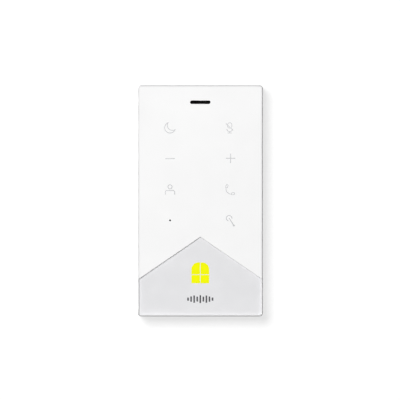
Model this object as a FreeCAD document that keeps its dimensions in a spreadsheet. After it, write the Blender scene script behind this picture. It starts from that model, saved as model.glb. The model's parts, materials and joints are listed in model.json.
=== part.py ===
"""Wall-mounted audio intercom station with a touch front, modelled in millimetres.

Frame: the wall is the plane y = 0 and the front faces -Y, +X is right as seen from the front
and +Z is up. The origin is the centre of the two wall-screw slots, which is also the centre of
the front. Places along Y are given as a depth, the distance in front of the wall.
"""
import FreeCAD, Part
import Sketcher
import math
import os
from FreeCAD import Placement, Rotation, Vector

doc = FreeCAD.newDocument("touch_intercom")
sheet = doc.addObject("Spreadsheet::Sheet", "dim")
pieces = {}


class Size:
    """A number together with the spreadsheet expression that yields it."""

    def __init__(self, value, text):
        self.value = float(value)
        self.text = text

    def __add__(self, other):
        other = size(other)
        return Size(self.value + other.value, f"({self.text} + {other.text})")

    def __sub__(self, other):
        other = size(other)
        return Size(self.value - other.value, f"({self.text} - {other.text})")

    def __mul__(self, other):
        other = size(other)
        return Size(self.value * other.value, f"({self.text} * {other.text})")

    def __truediv__(self, other):
        other = size(other)
        return Size(self.value / other.value, f"({self.text} / {other.text})")

    def __radd__(self, other):
        return size(other) + self

    def __rsub__(self, other):
        return size(other) - self

    def __rmul__(self, other):
        return size(other) * self

    def __neg__(self):
        return Size(-self.value, f"(0 - {self.text})")


def size(number):
    """Turn a plain number into a Size; a Size is returned as it is."""
    if isinstance(number, Size):
        return number
    return Size(number, f"({number})")


def cell(alias, number):
    """Write one driving dimension to the sheet and return it as a Size."""
    cell.row += 1
    sheet.set(f"A{cell.row}", alias)
    sheet.set(f"B{cell.row}", str(number))
    sheet.setAlias(f"B{cell.row}", alias)
    return Size(number, f"dim.{alias}")


cell.row = 0

# ---------------------------------------------------------------- driving dimensions

width = cell("width", 86)
height = cell("height", 159)
depth = cell("depth", 20)
corner = cell("corner", 2.5)
rim = cell("rim", 0.9)
lean = cell("lean", 0.45)
wall = cell("wall", 1.8)
fit_gap = cell("fit_gap", 0.1)

# Depth levels, from the wall to the front
plate_front = cell("plate_front", 1.2)
cover_back = cell("cover_back", 0.8)
pocket_floor = cell("pocket_floor", 1.6)
cover_wall = cell("cover_wall", 3.6)
split = cell("split", 8.2)
lip_front = cell("lip_front", 9.7)
main_back = cell("main_back", 10)
main_front = cell("main_front", 11.6)
bay_floor = cell("bay_floor", 12.6)
bay_front = cell("bay_front", 14)
touch_back = cell("touch_back", 15.4)
touch_front = cell("touch_front", 16.6)
upper_wall = cell("upper_wall", 17)
upper_tray = cell("upper_tray", 18.4)
lower_wall = cell("lower_wall", 16.3)
lower_tray = cell("lower_tray", 17.3)
lower_front = cell("lower_front", 18.2)
film_back = cell("film_back", 18.3)
glue = cell("glue", 0.2)

# Front: the gable edge between the two panels, and what the panels carry
gable_top = cell("gable_top", -24.8)
gable_slope = cell("gable_slope", 0.685)
key_column = cell("key_column", 20.8)
key_row = cell("key_row", 49.6)
key_pitch = cell("key_pitch", 21.1)
second_row_lift = cell("second_row_lift", 0.6)
stroke = cell("stroke", 0.6)
fine_stroke = cell("fine_stroke", 0.48)
inlay = cell("inlay", 0.6)
sign_reach = cell("sign_reach", 3)
slot_centre = cell("slot_centre", 67.6)
slot_length = cell("slot_length", 14)
slot_height = cell("slot_height", 2.35)
window_width = cell("window_width", 12.2)
window_top = cell("window_top", -42.4)
window_bottom = cell("window_bottom", -56.7)
window_arch = cell("window_arch", 4.8)
window_bar = cell("window_bar", -50.8)
mullion = cell("mullion", 0.4)
microphone_bore = cell("microphone_bore", 0.65)
microphone_lift = cell("microphone_lift", 0.2)
duct_radius = cell("duct_radius", 1.2)
mesh_margin = cell("mesh_margin", 1.8)
mesh_thickness = cell("mesh_thickness", 0.35)
mark_centre = cell("mark_centre", -67.6)

# Back: bracket, hooks, bay and fasteners
bracket_half = cell("bracket_half", 37)
bracket_rise = cell("bracket_rise", 62)
screw_reach = cell("screw_reach", 30)
slot_long = cell("slot_long", 8)
slot_wide = cell("slot_wide", 4.4)
hook_column = cell("hook_column", 28)
hook_row = cell("hook_row", 45)
hook_width = cell("hook_width", 8)
hook_rise = cell("hook_rise", 6.2)
bay_half = cell("bay_half", 38)
bay_top = cell("bay_top", 16)
bay_bottom = cell("bay_bottom", -29)
bay_wall = cell("bay_wall", 1.5)
post_column = cell("post_column", 36.5)
post_row = cell("post_row", 72)
lock_depth = cell("lock_depth", 5)
lock_radius = cell("lock_radius", 1.5)
notch_top = cell("notch_top", -74)

# Connectors
jack_column = cell("jack_column", -20)
jack_width = cell("jack_width", 16)
jack_mouth = cell("jack_mouth", 12)
jack_length = cell("jack_length", 21)
jack_back = cell("jack_back", 1.4)
jack_height = cell("jack_height", 11.5)
pole_count = 8
pole_pitch = cell("pole_pitch", 3.5)
header_column = cell("header_column", 10.3)
header_mouth = cell("header_mouth", 8)

half_width = width / 2
half_height = height / 2


# ---------------------------------------------------------------- helpers

def bind(feature, **sizes):
    """Bind properties of a feature to Sizes."""
    for name, value in sizes.items():
        feature.setExpression(name, size(value).text)


def place(feature, x, dist, z):
    """Bind the position of a feature: x, the depth in front of the wall, and z."""
    feature.setExpression("Placement.Base.x", size(x).text)
    feature.setExpression("Placement.Base.y", (-size(dist)).text)
    feature.setExpression("Placement.Base.z", size(z).text)


def around(centre, half):
    """The span that reaches half to either side of a centre."""
    return (centre - half, centre + half)


def block(x, dist, z):
    """A box over spans of x, of depth in front of the wall, and of z."""
    box = doc.addObject("Part::Box", "block")
    bind(box, Length=size(x[1]) - x[0], Width=size(dist[1]) - dist[0], Height=size(z[1]) - z[0])
    place(box, x[0], dist[1], z[0])
    return box


def disc(x, z, radius, dist):
    """A cylinder square to the wall, over a span of depth."""
    cylinder = doc.addObject("Part::Cylinder", "disc")
    cylinder.Placement = Placement(Vector(0, 0, 0), Rotation(Vector(1, 0, 0), 90))
    bind(cylinder, Radius=radius, Height=size(dist[1]) - dist[0])
    place(cylinder, x, dist[0], z)
    return cylinder


def rod(x, dist, radius, z):
    """An upright cylinder over a span of z."""
    cylinder = doc.addObject("Part::Cylinder", "rod")
    bind(cylinder, Radius=radius, Height=size(z[1]) - z[0])
    place(cylinder, x, dist, z[0])
    return cylinder


def fuse(*shapes):
    """One solid from shapes that touch or overlap."""
    feature = doc.addObject("Part::MultiFuse", "fuse")
    feature.Shapes = list(shapes)
    feature.Refine = True
    return feature


def group(*shapes):
    """Separate solids kept together in one node."""
    feature = doc.addObject("Part::Compound", "group")
    feature.Links = list(shapes)
    return feature


def cut(base, *tools):
    """A shape with the tools taken out of it."""
    feature = doc.addObject("Part::Cut", "cut")
    feature.Base = base
    feature.Tool = tools[0] if len(tools) == 1 else group(*tools)
    return feature


def name_piece(label, feature):
    """Register a finished sub-part under the name of its node."""
    feature.Label = label
    pieces[label] = feature
    return feature


def add_line(sketch, start, end):
    """Draw one line between two points whose coordinates are Sizes."""
    points = [Vector(x.value, z.value, 0) for x, z in (start, end)]
    return sketch.addGeometry(Part.LineSegment(*points), False)


def pin_point(sketch, curve, end, x, z):
    """Bind a curve's end point to a position in the sketch."""
    for kind, value in (("DistanceX", x), ("DistanceY", z)):
        index = sketch.addConstraint(Sketcher.Constraint(kind, -1, 1, curve, end, value.value))
        sketch.setExpression(f"Constraints[{index}]", value.text)


def polygon(*points):
    """An outline with straight sides."""
    corners = [(size(x), size(z)) for x, z in points]

    def draw(sketch):
        first = sketch.GeometryCount
        count = len(corners)
        for index in range(count):
            add_line(sketch, corners[index], corners[(index + 1) % count])
        for index in range(count):
            following = first + (index + 1) % count
            sketch.addConstraint(Sketcher.Constraint("Coincident", first + index, 2, following, 1))
            pin_point(sketch, first + index, 1, *corners[index])

    return draw


def rectangle(x, z):
    """A square-cornered outline over spans of x and z."""
    return polygon((x[0], z[0]), (x[1], z[0]), (x[1], z[1]), (x[0], z[1]))


def circle(x, z, radius):
    """A round outline."""
    x, z, radius = size(x), size(z), size(radius)

    def draw(sketch):
        centre = Vector(x.value, z.value, 0)
        curve = sketch.addGeometry(Part.Circle(centre, Vector(0, 0, 1), radius.value), False)
        index = sketch.addConstraint(Sketcher.Constraint("Radius", curve, radius.value))
        sketch.setExpression(f"Constraints[{index}]", radius.text)
        pin_point(sketch, curve, 3, x, z)

    return draw


def rounded(x, z, radius):
    """A rectangle over spans of x and z with its corners rounded."""
    left, right = size(x[0]), size(x[1])
    low, high = size(z[0]), size(z[1])
    radius = size(radius)

    def draw(sketch):
        turn = radius.value
        x0, x1, z0, z1 = left.value, right.value, low.value, high.value
        first = sketch.GeometryCount
        sides = (((x0 + turn, z0), (x1 - turn, z0)), ((x1, z0 + turn), (x1, z1 - turn)),
                 ((x1 - turn, z1), (x0 + turn, z1)), ((x0, z1 - turn), (x0, z0 + turn)))
        for start, end in sides:
            sketch.addGeometry(Part.LineSegment(Vector(*start, 0), Vector(*end, 0)), False)
        centres = ((x1 - turn, z0 + turn), (x1 - turn, z1 - turn),
                   (x0 + turn, z1 - turn), (x0 + turn, z0 + turn))
        quarter = math.pi / 2
        for index, centre in enumerate(centres):
            ring = Part.Circle(Vector(*centre, 0), Vector(0, 0, 1), turn)
            start = quarter * (index - 1)
            sketch.addGeometry(Part.ArcOfCircle(ring, start, start + quarter), False)
        arcs = first + 4
        for index in range(4):
            following = first + (index + 1) % 4
            constraint = Sketcher.Constraint("Tangent", first + index, 2, arcs + index, 1)
            sketch.addConstraint(constraint)
            constraint = Sketcher.Constraint("Tangent", arcs + index, 2, following, 1)
            sketch.addConstraint(constraint)
        for side in (first, first + 2):
            sketch.addConstraint(Sketcher.Constraint("Horizontal", side))
        for side in (first + 1, first + 3):
            sketch.addConstraint(Sketcher.Constraint("Vertical", side))
        for index in range(1, 4):
            sketch.addConstraint(Sketcher.Constraint("Equal", arcs, arcs + index))
        index = sketch.addConstraint(Sketcher.Constraint("Radius", arcs, turn))
        sketch.setExpression(f"Constraints[{index}]", radius.text)
        limits = (("DistanceX", -1, first + 3, left), ("DistanceX", -1, first + 1, right),
                  ("DistanceY", -1, first, low), ("DistanceY", -1, first + 2, high))
        for kind, origin, side, value in limits:
            constraint = Sketcher.Constraint(kind, origin, 1, side, 1, value.value)
            index = sketch.addConstraint(constraint)
            sketch.setExpression(f"Constraints[{index}]", value.text)

    return draw


def pill(x, z, length, thickness):
    """A level slot with round ends, centred on x and z."""
    end = thickness / 2 - 0.001
    return rounded(around(x, length / 2), around(z, thickness / 2), end)


class Moulding:
    """A PartDesign body made of sketches that lie parallel to the wall."""

    def __init__(self, label):
        self.body = doc.addObject("PartDesign::Body", label)
        planes = self.body.Origin.OriginFeatures
        self.planes = {plane.Role: plane for plane in planes}

    def sketch(self, role, offset, outlines):
        """A sketch with the given outlines, parallel to an origin plane."""
        sketch = self.body.newObject("Sketcher::SketchObject", "sketch")
        sketch.AttachmentSupport = [(self.planes[role], "")]
        sketch.MapMode = "FlatFace"
        sketch.setExpression(".AttachmentOffset.Base.z", size(offset).text)
        for draw in outlines:
            draw(sketch)
        return sketch

    def add(self, dist, *outlines, draft=None):
        """Add material over a span of depth, with its sides leaning in by a draft angle."""
        pad = self.body.newObject("PartDesign::Pad", "pad")
        pad.Profile = self.sketch("XZ_Plane", dist[0], outlines)
        bind(pad, Length=size(dist[1]) - dist[0])
        if draft:
            bind(pad, TaperAngle=draft)
        return pad

    def remove(self, dist, *outlines):
        """Cut material away over a span of depth."""
        pocket = self.body.newObject("PartDesign::Pocket", "pocket")
        pocket.Profile = self.sketch("XZ_Plane", dist[0], outlines)
        bind(pocket, Length=size(dist[1]) - dist[0])
        pocket.Reversed = True
        return pocket

    def bore(self, x, dist, radius, z):
        """Drill an upright hole over a span of z."""
        pocket = self.body.newObject("PartDesign::Pocket", "bore")
        pocket.Profile = self.sketch("XY_Plane", z[0], [circle(x, -size(dist), radius)])
        bind(pocket, Length=size(z[1]) - z[0])
        pocket.Reversed = True
        return pocket

    def round_edges(self, radius, chosen):
        """Round every edge for which chosen(edge) is true."""
        doc.recompute()
        base = self.body.Tip
        edges = enumerate(base.Shape.Edges, 1)
        names = [f"Edge{index}" for index, edge in edges if chosen(edge)]
        fillet = self.body.newObject("PartDesign::Fillet", "fillet")
        fillet.Base = (base, names)
        bind(fillet, Radius=radius)


def at_depth(edge, dist):
    """Whether an edge lies wholly at one depth in front of the wall."""
    return all(abs(vertex.Y + size(dist).value) < 0.001 for vertex in edge.Vertexes)


def on_frame(dist, half, rise):
    """A test for the straight edges of an upright rectangle at one depth."""
    def chosen(edge):
        centre = edge.BoundBox.Center
        across = abs(abs(centre.x) - half.value)
        up = abs(abs(centre.z) - rise.value)
        return at_depth(edge, dist) and min(across, up) < 0.01
    return chosen


def both_signs(x, z):
    """The four points at plus and minus x and z."""
    return [(sx * x, sz * z) for sx in (-1, 1) for sz in (-1, 1)]


def gable(x):
    """The height of the gable edge at a distance x to either side of the middle."""
    return gable_top - gable_slope * x


def below_gable(margin):
    """The outline of everything below the gable edge, lowered by a margin."""
    far = half_width + 5
    low = -half_height - 5
    return polygon((-far, low), (far, low), (far, gable(far) - margin),
                   (size(0), gable_top - margin), (-far, gable(far) - margin))


def above_gable(margin):
    """The outline of everything above the gable edge, raised by a margin."""
    far = half_width + 5
    high = half_height + 5
    return polygon((-far, gable(far) + margin), (size(0), gable_top + margin),
                   (far, gable(far) + margin), (far, high), (-far, high))


# ---------------------------------------------------------------- front housing and panels

opening_half = cell("opening_half", 33)
opening_low = cell("opening_low", -20)
opening_high = cell("opening_high", 55.6)
post_radius = cell("post_radius", 3)
pilot_front = cell("pilot_front", 10.5)
stake_radius = cell("stake_radius", 0.9)
rim_round = cell("rim_round", 0.12)
tray_round = cell("tray_round", 0.06)
sheet_round = cell("sheet_round", 0.2)
screw_radius = cell("screw_radius", 1.2)
stake_column = cell("stake_column", 34.8)
stake_rows = (-15, 20, 50)
tray_corner = corner - rim
front_half = half_width - lean
front_rise = half_height - lean
lean_span = depth - split
lean_angle = Size(-math.degrees(math.atan(lean.value / lean_span.value)),
                  f"-atan({lean.text} / {lean_span.text})")
whole = (-half_width, half_width), (-half_height, half_height)
inner_half = half_width - wall
inner_rise = half_height - wall
cavity = (-inner_half, inner_half), (-inner_rise, inner_rise)
tray_half = half_width - rim
tray_rise = half_height - rim
tray = (-tray_half, tray_half), (-tray_rise, tray_rise)
panel_half = tray_half - fit_gap
panel_rise = tray_rise - fit_gap
panel = (-panel_half, panel_half), (-panel_rise, panel_rise)
microphone_row = key_row - key_pitch * 3 + microphone_lift
guide_half = window_width / 2 + 0.9
guide = (-guide_half, guide_half), (window_bottom - 0.9, window_top + 0.9)


def grown(span, margin):
    """A span made longer by a margin at both ends."""
    return (span[0] - margin, span[1] + margin)


def slot_outline(margin):
    """The outline of the speaker slot made larger all round by a margin."""
    return pill(0, slot_centre, slot_length + margin * 2, slot_height + margin * 2)


def front_housing():
    """Front shell: side walls, raised rim, two-level tray, key opening and screw posts."""
    shell = Moulding("front_shell")
    shell.add((split, depth), rounded(*whole, corner), draft=lean_angle)
    shell.remove((split, lower_wall), rounded(*cavity, corner - wall))
    shell.remove((upper_tray, depth), rounded(*tray, tray_corner))
    opening = rounded((-opening_half, opening_half), (opening_low, opening_high), 2)
    shell.remove((lower_wall, upper_tray), opening, slot_outline(mesh_margin - 1.1))
    shell.remove((upper_tray - mesh_thickness - 0.05, upper_tray), slot_outline(mesh_margin + 0.2))
    around_guide = rounded(grown(guide[0], 0.2), grown(guide[1], 0.2), 1.5)
    shell.remove((lower_wall, upper_tray), around_guide)
    posts = both_signs(post_column, post_row)
    post_back = cover_wall + fit_gap
    shell.add((post_back, lower_wall + 0.2), *[circle(x, z, post_radius) for x, z in posts])
    shell.remove((post_back, pilot_front), *[circle(x, z, screw_radius + 0.05) for x, z in posts])
    stakes = [(side * stake_column, size(z)) for side in (-1, 1) for z in stake_rows]
    shell.add((touch_back - 0.6, lower_wall + 1), *[circle(x, z, stake_radius) for x, z in stakes])
    shell.round_edges(rim_round, on_frame(depth, front_half, front_rise))
    shell.round_edges(tray_round, on_frame(depth, tray_half, tray_rise))
    lower = Moulding("lower_tray_space")
    lower.add((lower_tray, depth), rounded(*tray, tray_corner))
    lower.remove((lower_tray, depth), above_gable(0))
    upper = Moulding("upper_cavity_space")
    upper.add((lower_wall, upper_wall), rounded(*cavity, corner - wall))
    upper.remove((lower_wall, upper_wall), below_gable(-3))
    for column, row in posts:
        upper.remove((lower_wall, upper_wall), circle(column, row, post_radius))
    for column, row in stakes:
        upper.remove((lower_wall, upper_wall), circle(column, row, stake_radius))
    name_piece("front_housing", cut(shell.body, lower.body, upper.body))


face = (depth - inlay, depth)


def ring(x, z, radius, pen=stroke):
    """A circle drawn with a symbol stroke."""
    return cut(disc(x, z, size(radius) + pen / 2, face), disc(x, z, size(radius) - pen / 2, face))


def level_line(half, pen=stroke):
    """A level line about the origin, with round ends."""
    edge = pen / 2
    line = block((-half, half), face, around(0, edge))
    return fuse(line, disc(-half, 0, edge, face), disc(half, 0, edge, face))


def put(symbol, x, z, turn=0):
    """Place a symbol drawn about the origin, turned clockwise by some degrees."""
    symbol.Placement = Placement(Vector(0, 0, 0), Rotation(Vector(0, 1, 0), turn))
    place(symbol, x, 0, z)
    return symbol


def frame_line(x, z, radius, pen=stroke):
    """A rounded rectangle drawn with a symbol stroke."""
    edge = pen / 2
    box = Moulding("frame_line")
    box.add(face, rounded(grown(x, edge), grown(z, edge), radius + edge))
    box.remove(face, rounded(grown(x, -edge), grown(z, -edge), radius - edge))
    return box


def moon_symbol():
    """Crescent outline, open to the upper right: do not disturb."""
    def crescent(margin):
        return cut(disc(0, 0, 3.95 - margin, face), disc(1.75, 1.75, 3.3 + margin, face))
    return cut(crescent(size(0)), crescent(stroke))


def minus_symbol():
    """Volume down."""
    return level_line(sign_reach)


def plus_symbol():
    """Volume up."""
    return fuse(level_line(sign_reach), put(level_line(sign_reach), 0, 0, 90))


def person_symbol():
    """Head and shoulders: call the porter."""
    shoulders = frame_line((size(-3.2), size(3.2)), (size(-8), size(-0.4)), size(1.1))
    shoulders.remove(face, rectangle((-5, 5), (-9, -3.2)))
    return group(ring(0, 2.1, 1.4), shoulders.body)


def muted_symbol():
    """Microphone crossed out: mute."""
    half = size(1.5)
    capsule = frame_line((-half, half), (size(-0.2), size(3.5)), half - 0.01, fine_stroke)
    cradle = cut(ring(0, -0.7, 1.9, fine_stroke), block((-3, 3), face, (-0.7, 3)))
    stem = put(level_line(0.3, fine_stroke), 0, -3, 90)
    foot = put(level_line(1.3, fine_stroke), 0, -3.5)
    slash = put(level_line(3.3, fine_stroke), -0.2, 0.7, 43)
    return fuse(capsule.body, cradle, stem, foot, slash)


def phone_symbol():
    """Handset with a curved grip between two outlined ends: open or end the talk line."""
    centre = 1.2
    radius = 3.8
    grip = cut(ring(0, centre, radius, fine_stroke), block((-5, 5), face, (-1.2, 6)))
    half = size(0.65)
    rise = size(1.05)
    ends = []
    for side in (-1, 1):
        end = frame_line((-half, half), (-rise, rise), size(0.4), fine_stroke).body
        ends.append(put(end, side * 3.3, -0.2, side * 33))
    return fuse(grip, *ends)


def key_symbol():
    """Open ring with a shaft and a knob: open the door."""
    bow = cut(ring(0, 0, 1.85), block((0.5, 3), face, (-1.4, 1.4)))
    shaft = put(level_line(2.8), 2.9, 0)
    return group(bow, fuse(shaft, disc(6, 0, stroke * 1.1, face)))


def touch_symbols():
    """The seven lit signs, each a thin inlay flush with the front."""
    left = -key_column
    rows = [key_row - key_pitch * index for index in range(4)]
    rows[1] = rows[1] + second_row_lift
    signs = (put(moon_symbol(), left, rows[0] + 0.5), put(minus_symbol(), left, rows[1] - 0.2),
             put(person_symbol(), left, rows[2]),
             put(muted_symbol(), key_column - 0.6, rows[0] + 0.4),
             put(plus_symbol(), key_column, rows[1]),
             put(phone_symbol(), key_column - 0.3, rows[2] + 0.1, 51),
             put(key_symbol(), key_column - 1, rows[3] + 1.7, 57))
    return name_piece("touch_symbols", group(*signs))


def touch_panel(symbols):
    """White front sheet with the speaker slot, the microphone hole and the inlaid signs."""
    sheet_body = Moulding("touch_sheet")
    span = (upper_tray + glue, depth)
    sheet_body.add(span, rounded(*panel, tray_corner - fit_gap))
    sheet_body.remove(span, below_gable(0))
    port = circle(-key_column, microphone_row, microphone_bore)
    sheet_body.remove(span, slot_outline(0), port)

    def slot_side(edge):
        near = abs(edge.BoundBox.Center.z - slot_centre.value) < slot_height.value
        return at_depth(edge, depth) and near and edge.BoundBox.XLength > slot_height.value

    def sloping(edge):
        tall = edge.BoundBox.ZLength > half_width.value * gable_slope.value / 2
        return at_depth(edge, depth) and tall and edge.BoundBox.XLength > half_width.value / 2

    sheet_body.round_edges(sheet_round, lambda edge: sloping(edge) or slot_side(edge))
    name_piece("touch_panel", cut(sheet_body.body, symbols))


def window_light_guide():
    """Clear yellow light guide: a flange behind the panel and four panes that show in it."""
    panes = Moulding("window_light_guide")
    half = window_width / 2
    reach = half + 1
    foot = window_bottom - window_arch - 1
    bar = mullion / 2
    face_span = (lower_tray + glue, lower_front)
    panes.add(face_span, rounded((-half, half), (foot, window_top), window_arch))
    panes.remove(face_span, rectangle((-reach, reach), (foot - 1, window_bottom)))
    panes.remove(face_span, rectangle((-reach, reach), around(window_bar, bar)))
    panes.remove(face_span, rectangle((-bar, bar), (window_bottom - 1, window_top + 1)))
    panes.add((lower_wall + fit_gap, lower_tray + glue), rounded(*guide, 1.3))
    return name_piece("window_light_guide", panes.body)


def panel_mark():
    """Plain row of bars of different height, a sign for sound, inlaid under the window."""
    half = cell("mark_bar", 0.54)
    pitch = cell("mark_pitch", 2.1)
    span = (lower_front - glue, lower_front)
    tall = (1.1, 1.8, 2.5, 1.7, 2.7, 1.7, 2.5, 1.8, 1.1)
    middle = (len(tall) - 1) / 2
    bars = [block(around(pitch * (index - middle), half), span, around(mark_centre, rise))
            for index, rise in enumerate(tall)]
    return name_piece("panel_mark", group(*bars))


def lower_panel(guide_body, mark):
    """Grey lower sheet in the shape of a house front, set back from the rim."""
    sheet_body = Moulding("lower_sheet")
    span = (lower_tray + glue, lower_front)
    sheet_body.add(span, rounded(*panel, tray_corner - fit_gap))
    sheet_body.remove(span, above_gable(-fit_gap))
    name_piece("lower_panel", cut(sheet_body.body, guide_body, mark))


def adhesives():
    """Die-cut adhesive sheets that hold the two panels in their trays."""
    upper = Moulding("panel_adhesive")
    margin = fit_gap + 0.3
    outline = grown(tray[0], -margin), grown(tray[1], -margin)
    span = (upper_tray, upper_tray + glue)
    upper.add(span, rounded(*outline, tray_corner - margin))
    upper.remove(span, below_gable(-0.5))
    opening = rounded((-opening_half - 0.3, opening_half + 0.3),
                      (opening_low - 0.3, opening_high + 0.3), 2.3)
    upper.remove(span, opening, slot_outline(mesh_margin + 0.3))
    name_piece("panel_adhesive", upper.body)
    lower = Moulding("lower_panel_adhesive")
    span = (lower_tray, lower_tray + glue)
    lower.add(span, rounded(*outline, tray_corner - margin))
    lower.remove(span, above_gable(-0.6))
    lower.remove(span, rounded(grown(guide[0], 0.4), grown(guide[1], 0.4), 1.7))
    name_piece("lower_panel_adhesive", lower.body)


# ---------------------------------------------------------------- touch stack behind the panel

mask_half = opening_half - 0.3
mask_span = (opening_low + 0.3, opening_high - 0.3)
mask = (-mask_half, mask_half), mask_span
key_places = [(side * key_column, key_row - key_pitch * index)
              for side in (-1, 1) for index in range(4) if side > 0 or index < 3]


def touch_film():
    """Clear sensor film with a hole for the microphone."""
    film = Moulding("touch_film")
    span = (film_back, upper_tray + glue)
    film.add(span, rounded(*mask, 1.7))
    film.remove(span, circle(-key_column, microphone_row, duct_radius + fit_gap))
    name_piece("touch_film", film.body)


def light_mask():
    """Light mask: one well behind each sign."""
    body = Moulding("light_mask")
    span = (touch_front, film_back)
    body.add(span, rounded(*mask, 1.7))
    body.remove(span, *[rounded(around(x, 5), around(z, 5), 1) for x, z in key_places])
    body.remove(span, circle(-key_column, microphone_row, duct_radius + fit_gap))
    name_piece("light_mask", body.body)


def touch_board():
    """Touch circuit board with stake holes and the microphone port."""
    body = Moulding("touch_board")
    outline = rounded((-36.5, 36.5), (opening_low - 1.5, 57), 1)
    body.add((touch_back, touch_front), outline)
    holes = [circle(side * stake_column, z, 1) for side in (-1, 1) for z in stake_rows]
    body.remove((touch_back, touch_front), circle(-key_column, microphone_row, 0.5), *holes)
    name_piece("touch_board", body.body)
    lamps = [block(around(x + side * 2.2, 0.8), (touch_front, touch_front + 0.7), around(z, 0.4))
             for x, z in key_places for side in (-1, 1)]
    name_piece("backlight_leds", group(*lamps))
    chip_span = (touch_back - 1, touch_back)
    chips = [block(around(-9, 3.5), chip_span, around(30, 3.5)),
             block(around(6, 2.5), chip_span, around(44, 2)),
             block(around(2, 1.2), chip_span, around(22, 2))]
    rows = [block(around(-30 + 3 * index, 0.5), chip_span, around(18, 0.8)) for index in range(5)]
    name_piece("touch_board_chips", group(*chips, *rows))


def microphone():
    """Microphone on the back of the touch board, its rubber duct and the dust mesh in front."""
    x = -key_column
    duct = cut(disc(x, microphone_row, duct_radius, (touch_front, upper_tray)),
               disc(x, microphone_row, microphone_bore, (touch_front, upper_tray)))
    name_piece("microphone_duct", duct)
    span = (upper_tray, upper_tray + glue)
    holes = [disc(x + across, microphone_row + up, 0.11, span)
             for across in (-0.45, 0, 0.45) for up in (-0.45, 0, 0.45)]
    name_piece("microphone_mesh", cut(disc(x, microphone_row, duct_radius, span), *holes))
    name_piece("microphone", block(around(x, 1.75), (touch_back - 1, touch_back),
                                   around(microphone_row, 1.35)))


# ---------------------------------------------------------------- lit window

window_middle = (window_top + window_bottom) / 2
power_back = cell("power_back", 8.6)
power_front = cell("power_front", 10.2)
lamp_back = cell("lamp_back", 10.6)
lamp_front = cell("lamp_front", 11.4)


def window_lamp():
    """Reflector box with its small lamp board behind the window."""
    half = window_width / 2 + 2
    rise = (window_top - window_bottom) / 2 + 2
    box = Moulding("window_light_box")
    span = (lamp_front, lower_wall)
    box.add(span, rounded((-half, half), around(window_middle, rise), 1.5))
    box.remove(span, rounded((1.2 - half, half - 1.2), around(window_middle, rise - 1.2), 1))
    name_piece("window_light_box", box.body)
    board = Moulding("window_lamp_board")
    board.add((lamp_back, lamp_front), rounded((-half, half), around(window_middle, rise), 0.8))
    name_piece("window_lamp_board", board.body)
    lamps = [block(around(x, 1.4), (lamp_front, lamp_front + 0.8), around(window_middle + z, 1.75))
             for x, z in both_signs(3, 3.5)]
    name_piece("window_lamps", group(*lamps))


# ---------------------------------------------------------------- speaker

speaker_half = cell("speaker_half", 15)
speaker_rise = cell("speaker_rise", 9.4)
speaker_back = cell("speaker_back", 11)
speaker_front = cell("speaker_front", 16.2)
basket_floor = cell("basket_floor", 11.8)
basket_half = cell("basket_half", 13.6)
basket_rise = cell("basket_rise", 8)
magnet_radius = cell("magnet_radius", 6.2)
coil_radius = cell("coil_radius", 4.6)
cone_back = cell("cone_back", 13.9)


def track(half, rise):
    """A racetrack outline about the speaker's centre."""
    half, rise = size(half), size(rise)
    return rounded((-half, half), around(slot_centre, rise), rise - 0.01)


cone_front = cone_back + 0.3


def speaker():
    """Small oval loudspeaker: frame, magnet system, cone with coil, surround and gasket."""
    frame = Moulding("speaker_frame")
    frame.add((speaker_back, speaker_front), track(speaker_half, speaker_rise))
    lugs = rounded((13, 16.2), (slot_centre - 3.2, slot_centre + 3.2), 0.5)
    frame.add((speaker_back + 0.2, speaker_back + 2.6), lugs)
    frame.remove((cone_front, speaker_front), track(basket_half, basket_rise))
    frame.remove((basket_floor, cone_front), track(basket_half - 0.8, basket_rise - 0.8))
    frame.remove((speaker_back, basket_floor), circle(0, slot_centre, magnet_radius + fit_gap))
    name_piece("speaker_frame", frame.body)
    magnet_front = speaker_back + 2.2
    cup = Moulding("speaker_magnet")
    cup.add((speaker_back - 0.7, magnet_front), circle(0, slot_centre, magnet_radius))
    cup.remove((speaker_back, magnet_front), circle(0, slot_centre, coil_radius + 0.4))
    cup.add((speaker_back, magnet_front), circle(0, slot_centre, coil_radius - 1))
    name_piece("speaker_magnet", cup.body)
    cone = Moulding("speaker_cone")
    cone.add((cone_back, cone_front), track(11.3, 5.7))
    cone.add((cone_back, cone_back + 0.9), circle(0, slot_centre, coil_radius - 0.3))
    cone.remove((cone_back, cone_back + 0.6), circle(0, slot_centre, coil_radius - 0.6))
    name_piece("speaker_cone", cone.body)
    coil_span = (basket_floor, cone_back)
    coil = cut(disc(0, slot_centre, coil_radius, coil_span),
               disc(0, slot_centre, coil_radius - 0.5, coil_span))
    name_piece("voice_coil", coil)
    surround = Moulding("speaker_surround")
    surround.add((cone_front, cone_front + 0.25), track(basket_half - 0.05, basket_rise - 0.05))
    surround.remove((cone_front, cone_front + 0.25), track(10.5, 4.9))
    name_piece("speaker_surround", surround.body)
    gasket = Moulding("speaker_gasket")
    gasket.add((speaker_front, upper_wall), track(speaker_half, speaker_rise))
    gasket.remove((speaker_front, upper_wall), track(basket_half, basket_rise))
    name_piece("speaker_gasket", gasket.body)
    mesh = Moulding("speaker_mesh")
    span = (upper_tray - mesh_thickness, upper_tray)
    mesh.add(span, slot_outline(mesh_margin))
    pitch = size(0.9)
    first = pitch * -7
    rows = [circle(first, slot_centre + pitch * row, 0.3) for row in (-1, 0, 1)]
    holes = mesh.remove(span, *rows)
    pattern = mesh.body.newObject("PartDesign::LinearPattern", "pattern")
    pattern.Originals = [holes]
    pattern.Direction = (holes.Profile[0], ["H_Axis"])
    bind(pattern, Length=pitch * 14)
    pattern.Occurrences = 15
    mesh.body.Tip = pattern
    name_piece("speaker_mesh", mesh.body)


# ---------------------------------------------------------------- cords and ribbons

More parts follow.
